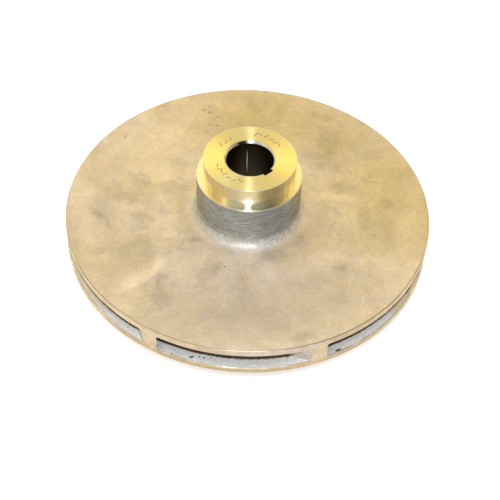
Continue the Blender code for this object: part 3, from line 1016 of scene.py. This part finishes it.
# Each run of marks: first angle in degrees, radius and count, and which way it goes round
MARK_RUNS = (
    (200.0, 28.5, 3, -1),
    (131.0, 29.5, 6, -1),
    (-117.0, 31.0, 7, 1),
)
MARK_WIDTH = 0.00058
MARK_SPREAD = 1.55
MARK_MIDDLE = 0.0020
MARK_DEPTH = 0.0003
MARK_SINK = 0.00001


def ribbon(work, points, width, top, depth):
    """A thin closed strip along the points, sunk in the face."""
    rings = []
    for index, point in enumerate(points):
        ahead = points[min(index + 1, len(points) - 1)] - points[max(index - 1, 0)]
        side = Vector((-ahead.y, ahead.x)).normalized() * (width / 2)
        left, right = point + side, point - side
        ring = ((left, top - depth), (left, top), (right, top), (right, top - depth))
        rings.append([work.verts.new((*place, height)) for place, height in ring])
    for here, there in zip(rings, rings[1:]):
        for k in range(4):
            work.faces.new((here[k], here[(k + 1) % 4], there[(k + 1) % 4], there[k]))
    work.faces.new(rings[0][::-1])
    work.faces.new(rings[-1])


def make_marks():
    """Short hand-scribed ticks in three runs, where the face of the hub is marked."""
    work = bmesh.new()
    draw = np.random.default_rng(7)
    for start, radius, count, way in MARK_RUNS:
        along = 0.0
        for index in range(count):
            stroke = STROKES[(index * 5 + round(radius)) % len(STROKES)]
            scale = draw.uniform(1.25, 1.60) * MILLIMETRE
            lift = draw.uniform(-0.5, 0.5) * MILLIMETRE
            points = []
            for u, v in stroke:
                turned = way * (along + u * MARK_SPREAD * scale) / (radius * MILLIMETRE)
                angle = math.radians(start) + turned
                reach = radius * MILLIMETRE + lift - way * (v * scale - MARK_MIDDLE)
                points.append(Vector((reach * math.cos(angle), reach * math.sin(angle))))
            ribbon(work, points, MARK_WIDTH, HUB_TOP - MARK_SINK, MARK_DEPTH)
            along += (max(u for u, _ in stroke) * MARK_SPREAD + draw.uniform(0.6, 1.3)) * scale
    bmesh.ops.recalc_face_normals(work, faces=work.faces)
    mesh = bpy.data.meshes.new("hub_scribe_marks")
    work.to_mesh(mesh)
    work.free()
    mesh.materials.append(MATERIALS["mark"])
    finish_piece(add_object("hub_scribe_marks", mesh), "hub_metal")


def make_bead():
    """The fillet's face ripples a little; its back lies inside the metal around it."""
    inner = BARREL_RADIUS - 0.0010
    foot = BACK_FACE - 0.0010
    reach = BEAD_RADIUS - BARREL_RADIUS
    rise = BEAD_TOP - BACK_FACE
    face = bezier((
        (BARREL_RADIUS - 0.0002, BEAD_TOP + 0.0010),
        (BARREL_RADIUS + 0.0004, BEAD_TOP - rise * 0.55),
        (BEAD_RADIUS - reach * 0.60, BACK_FACE + 0.0003),
        (BEAD_RADIUS + 0.0022, BACK_FACE - 0.0001),
    ), 26)
    line = [(inner, BEAD_TOP, "bead")] + [(r, z, "bead") for r, z in face]
    line += [(BEAD_RADIUS, foot, "bead"), (inner, foot, "bead")]
    last = len(face)

    def rippled(radius, height, angle, index):
        if not 1 <= index <= last:
            return radius, height
        share = (index - 1) / (last - 1)
        weight = math.sin(math.pi * share) ** 0.7
        around = Vector((math.cos(angle) * 3.2, math.sin(angle) * 3.2, share * 1.6))
        coarse = noise.noise(around * 1.6)
        fine = noise.noise(around * 7.0)
        push = weight * (0.00025 * coarse + 0.00010 * fine)
        return radius + push, height + push * 0.8

    bead = lathe("hub_bead", line, RING_COLUMNS, rippled)
    finish_piece(bead, "fillet_metal", "hub_fillet")


# Shrouds

DENTED_REACH = 0.0012


def nick(angle, seed):
    """Small dents along a turned edge, deeper at a few places."""
    coarse = noise.noise(Vector((math.cos(angle) * 6.0, math.sin(angle) * 6.0, seed)))
    fine = noise.noise(Vector((math.cos(angle) * 40.0, math.sin(angle) * 40.0, seed)))
    return 0.00005 * coarse + 0.00018 * max(0.0, fine - 0.32)


def dented(edge, inward, seed):
    """A shape for lathe() that dents the rim's edge at one height; inward is 1 up and -1 down."""
    def shape(radius, height, angle, index):
        if radius <= OUTER_RADIUS - DENTED_REACH or (height - edge) * inward >= DENTED_REACH:
            return radius, height
        dent = nick(angle, seed)
        return radius - dent, height + dent * inward
    return shape


def make_back_shroud():
    inner = STEM_RADIUS + 0.0001
    rows = [
        (inner, BACK_FACE - 0.0001, 0.0, "ground", 40),
        (OUTER_RADIUS, BACK_FACE, 0.0009, "rim", 3),
        (OUTER_RADIUS, CEILING, 0.0004, "cast", 12),
    ]
    line = outline(rows)
    line += [(r, z, "cast") for r, z in flow_ceiling()[::-1]]
    line += [(inner, FLARE_END_HEIGHT, "cast")]

    disc = lathe("back_shroud_disc", line, RIM_COLUMNS, dented(BACK_FACE, -1, 1.0))
    finish_piece(disc, "shroud_metal", "back_shroud")


def make_front_shroud():
    under = shroud_bend(RIM_BOTTOM, NECK_RADIUS - 0.0006, 0.012)
    flow = shroud_bend(RIM_FLOOR, EYE_RADIUS, 0.016)
    slope_end = (NECK_START, shroud_height(NECK_START, RIM_FLOOR))
    rows = [
        (OUTER_RADIUS - 0.0009, RIM_FLOOR, 0.0, "edge", 1),
        (OUTER_RADIUS - 0.0002, RIM_FLOOR - 0.0002, 0.0004, "edge", 1),
        (OUTER_RADIUS, RIM_FLOOR - 0.0009, 0.0, "rim", 3),
        (OUTER_RADIUS, RIM_BOTTOM, 0.0008, "ground", 16),
        (under[0][0], under[0][1], 0.0, "ground", 1),
    ]
    line = outline(rows + [(*slope_end, 0.0, "cast", 16)])
    slope_start = max(i for i, p in enumerate(line) if p[2] == "ground") + 1
    bend = [(r, z, "ground") for r, z in under[1:]]
    bore = [(r, z, "cast") for r, z in flow[::-1][:-1]]
    ring = line[:slope_start] + bend + bore + line[slope_start:]
    shroud = lathe("front_shroud_plate", ring, RIM_COLUMNS, dented(RIM_BOTTOM, 1, 5.0))
    finish_piece(shroud, "shroud_metal", "front_shroud")


def make_suction_eye():
    rows = [
        (EYE_RADIUS, NECK_HEIGHT + 0.0004, 0.0, "cast", 1),
        (NECK_RADIUS - 0.0008, NECK_HEIGHT + 0.0004, 0.0, "barrel", 1),
        (NECK_RADIUS, NECK_HEIGHT - 0.0006, 0.0003, "barrel", 6),
        (NECK_RADIUS, 0.0, 0.0012, "bright", 6),
        (EYE_RADIUS, 0.0, 0.0014, "barrel", 4),
    ]
    eye = lathe("suction_eye_ring", outline(rows), RING_COLUMNS)
    finish_piece(eye, "eye_metal", "suction_eye")


# Vanes

def vane_share(radius):
    """How far out along a vane a radius is: nothing at the root and one at the rim."""
    return (radius - VANE_ROOT_RADIUS) / (OUTER_RADIUS - VANE_ROOT_RADIUS)


def vane_beta(radius):
    """A vane's angle against the circle through it."""
    return VANE_INLET_BETA + vane_share(radius) * (VANE_EXIT_BETA - VANE_INLET_BETA)


def vane_sweep():
    """Angle of a vane's centreline against its radius, nothing at the rim."""
    radii = np.linspace(VANE_ROOT_RADIUS, OUTER_RADIUS + VANE_EXIT_THICKNESS, 200)
    beta = vane_beta(radii)
    middle = (beta[1:] + beta[:-1]) / 2
    turned = np.concatenate([[0.0], np.cumsum(np.log(radii[1:] / radii[:-1]) / np.tan(middle))])
    return radii, turned - np.interp(OUTER_RADIUS, radii, turned)


SWEEP_RADII, SWEEP_ANGLES = vane_sweep()
CEILING_LINE = np.array(flow_ceiling() + [(OUTER_RADIUS + 0.02, CEILING)])
FLOOR_LINE = np.array(
    shroud_bend(RIM_FLOOR, EYE_RADIUS, 0.016)[::-1]
    + [(OUTER_RADIUS, RIM_FLOOR), (OUTER_RADIUS + 0.02, RIM_FLOOR)]
)


def height_on(line, radius):
    return float(np.interp(radius, line[:, 0], line[:, 1]))


def root_flare(depth):
    """How far the cast fillet widens a vane at a distance from the shroud."""
    if depth >= CAST_FILLET:
        return 0.0
    return CAST_FILLET - math.sqrt(CAST_FILLET ** 2 - (CAST_FILLET - max(depth, 0.0)) ** 2)


def vane_levels():
    """Shares of the passage's width at which the vane has a row of points."""
    near = [0.0, 0.03, 0.06, 0.10, 0.16]
    return near + [0.3, 0.5, 0.7] + [1.0 - share for share in near[::-1]]


def vane_point(start, along, level, side):
    """A point on one side of a vane: along it from the leading edge to past the rim."""
    reach = OUTER_RADIUS + VANE_OVERRUN
    radius = start + (reach - start) * along
    beta = vane_beta(radius)
    thickness = VANE_INLET_THICKNESS + vane_share(radius) * (VANE_EXIT_THICKNESS - VANE_INLET_THICKNESS)
    from_nose = (radius - start) / math.sin(beta)
    nose = min(1.0, from_nose / (VANE_INLET_THICKNESS * NOSE_ROUNDING))
    half = thickness / 2 * math.sqrt(1.0 - (1.0 - nose) ** 2)
    low, high = height_on(FLOOR_LINE, radius), height_on(CEILING_LINE, radius)
    height = low + (high - low) * level
    half += root_flare(min(height - low, high - height)) * min(1.0, nose)
    angle = VANE_LAND_ANGLE + float(np.interp(radius, SWEEP_RADII, SWEEP_ANGLES))
    heading = angle + math.pi / 2 - beta
    if level == 0.0:
        height -= BURIED
    if level == 1.0:
        height += BURIED
    x = radius * math.cos(angle) - math.sin(heading) * half * side
    y = radius * math.sin(angle) + math.cos(heading) * half * side
    return x, y, height


def vane_mesh():
    levels = vane_levels()
    work = bmesh.new()
    grids = {}
    for side in (1, -1):
        for j, level in enumerate(levels):
            start = LEADING_EDGE_AT_SHROUD + (LEADING_EDGE_AT_HUB - LEADING_EDGE_AT_SHROUD) * level
            for i in range(VANE_STATIONS):
                along = (i / (VANE_STATIONS - 1)) ** STATIONS_CROWDED
                grids[side, i, j] = work.verts.new(vane_point(start, along, level, side))
    last_i, last_j = VANE_STATIONS - 1, len(levels) - 1
    rings = [
        ((side, i, j), (side, i + 1, j), (side, i + 1, j + 1), (side, i, j + 1))
        for side in (1, -1) for i in range(last_i) for j in range(last_j)
    ]
    rings += [
        ((1, i, j), (1, i + 1, j), (-1, i + 1, j), (-1, i, j)) for j in (0, last_j) for i in range(last_i)
    ]
    rings += [
        ((1, i, j), (-1, i, j), (-1, i, j + 1), (1, i, j + 1)) for i in (0, last_i) for j in range(last_j)
    ]
    for ring in rings:
        work.faces.new([grids[key] for key in ring])
    bmesh.ops.remove_doubles(work, verts=work.verts, dist=WELD_DISTANCE)
    bmesh.ops.recalc_face_normals(work, faces=work.faces)
    mesh = bpy.data.meshes.new("vane_skin")
    work.to_mesh(mesh)
    mesh.materials.append(MATERIALS["wall"])
    work.free()
    return mesh


def rim_cutter():
    """A ring whose inner face is the rim's cylinder, to trim the vanes' ends."""
    inner, outer = OUTER_RADIUS - RIM_INSET, OUTER_RADIUS + 0.03
    top = BACK_FACE + 0.02
    line = [(outer, top, "rim"), (outer, 0.0, "rim"), (inner, 0.0, "rim"), (inner, top, "rim")]
    return lathe("rim_cutter", line, RIM_COLUMNS)


def make_vanes():
    blank = add_object("vane_blank", vane_mesh())
    cut(blank, rim_cutter())
    mesh = blank.data
    bpy.data.objects.remove(blank, do_unlink=True)
    mesh.shade_smooth()
    mesh.set_sharp_from_angle(angle=VANE_CREASE)
    for index in range(VANE_COUNT):
        copy = mesh.copy()
        copy.transform(Matrix.Rotation(math.tau * index / VANE_COUNT, 4, "Z"))
        vane = add_object(f"vane_skin_{index + 1}", copy)
        finish_piece(vane, "passage_metal", f"vane_{index + 1}")


# Floor and light

FLOOR_SIZE = 14.0
FLOOR_HEIGHT = -0.0002
FLOOR_COLOUR = (0.90, 0.94, 1.0)
FLOOR_GLOW = (0.94, 0.95, 1.0)
FLOOR_GLOW_STRENGTH = 0.40


def make_floor():
    bpy.ops.mesh.primitive_plane_add(size=FLOOR_SIZE, location=(0.0, 0.0, FLOOR_HEIGHT))
    floor = bpy.context.object
    floor.name = "floor"
    s = Shader("floor_pale", FLOOR_COLOUR, 0.9, metallic=0.0)
    s.feed(s.surface.inputs["Emission Color"], FLOOR_GLOW)
    s.feed(s.surface.inputs["Emission Strength"], FLOOR_GLOW_STRENGTH)
    floor.data.materials.append(s.material)


def area_light(name, elevation, size, power):
    """A round lamp above the camera, aimed at the disc's centre."""
    level = math.cos(math.radians(elevation)) * LAMP_DISTANCE
    target = Vector((0.0, 0.0, BACK_FACE))
    data = bpy.data.lights.new(name, "AREA")
    data.shape = "DISK"
    data.size = size
    data.energy = power
    data.color = FLASH_COLOUR
    light = bpy.data.objects.new(name, data)
    light.location = target + Vector((
        math.sin(CAMERA_AZIMUTH) * level,
        -math.cos(CAMERA_AZIMUTH) * level,
        math.sin(math.radians(elevation)) * LAMP_DISTANCE,
    ))
    light.rotation_euler = (target - light.location).to_track_quat("-Z", "Y").to_euler()
    bpy.context.scene.collection.objects.link(light)


# Studio light by its azimuth from the camera, positive to the right, at middle elevations
SKY_AROUND = (
    (-180, (1.24, 1.00, 0.40)),
    (-158, (1.75, 1.54, 0.92)),
    (-125, (1.45, 1.26, 0.72)),
    (-95, (0.80, 0.64, 0.36)),
    (-68, (0.95, 0.80, 0.45)),
    (-60, (2.00, 1.85, 1.20)),
    (-52, (0.85, 0.80, 0.62)),
    (-25, (0.62, 0.62, 0.60)),
    (25, (0.36, 0.38, 0.40)),
    (58, (0.12, 0.12, 0.11)),
    (90, (0.60, 0.44, 0.20)),
    (116, (0.90, 0.72, 0.30)),
    (124, (1.90, 1.60, 0.72)),
    (134, (1.15, 0.97, 0.42)),
    (180, (1.24, 1.00, 0.40)),
)
# The same light by the sine of its elevation, as a strength, and the light overhead
SKY_UP = ((0.0, 0.55), (0.45, 0.90), (0.66, 1.12), (0.80, 0.74), (1.0, 0.70))
OVERHEAD = (0.54, 0.60, 0.72)
OVERHEAD_FROM = 0.62
FLASH_COLOUR = (1.0, 0.99, 0.98)
LAMP_DISTANCE = 1.15
# Pale haze above the horizon, up to this sine of the elevation
HAZE = (0.98, 0.98, 0.99)
HAZE_UP_TO = 0.14


def make_world():
    world = bpy.data.worlds.new("studio")
    world.use_nodes = True
    sky = Nodes(world.node_tree, "Generated")
    inputs = {"Vector": sky.place, "Angle": math.pi / 2 - CAMERA_AZIMUTH}
    turned = sky.node("ShaderNodeVectorRotate", inputs, rotation_type="Z_AXIS")
    circle = sky.node("ShaderNodeTexGradient", {0: turned}, "Fac", gradient_type="RADIAL")
    up = sky.height()
    level = sky.colours(circle, [((a + 180) / 360, c) for a, c in SKY_AROUND])
    rise = sky.colours(up, [(z, (v, v, v)) for z, v in SKY_UP])
    light = sky.mix(1.0, level, rise, "MULTIPLY")
    light = sky.mix(sky.ramp(up, OVERHEAD_FROM, 1.0), light, OVERHEAD)
    light = sky.mix(sky.ramp(up, HAZE_UP_TO, 0.0), light, HAZE)
    sky.feed(sky.tree.nodes["Background"].inputs["Color"], light)
    bpy.context.scene.world = world


def make_lights():
    make_world()
    area_light("flash_core", 52.0, 0.030, 3.3)
    area_light("flash_rim", 51.0, 0.090, 1.9)
    bpy.context.scene.view_settings.view_transform = "Standard"


make_camera()
make_hub()
make_marks()
make_bead()
make_back_shroud()
make_front_shroud()
make_suction_eye()
make_vanes()
make_floor()
make_lights()
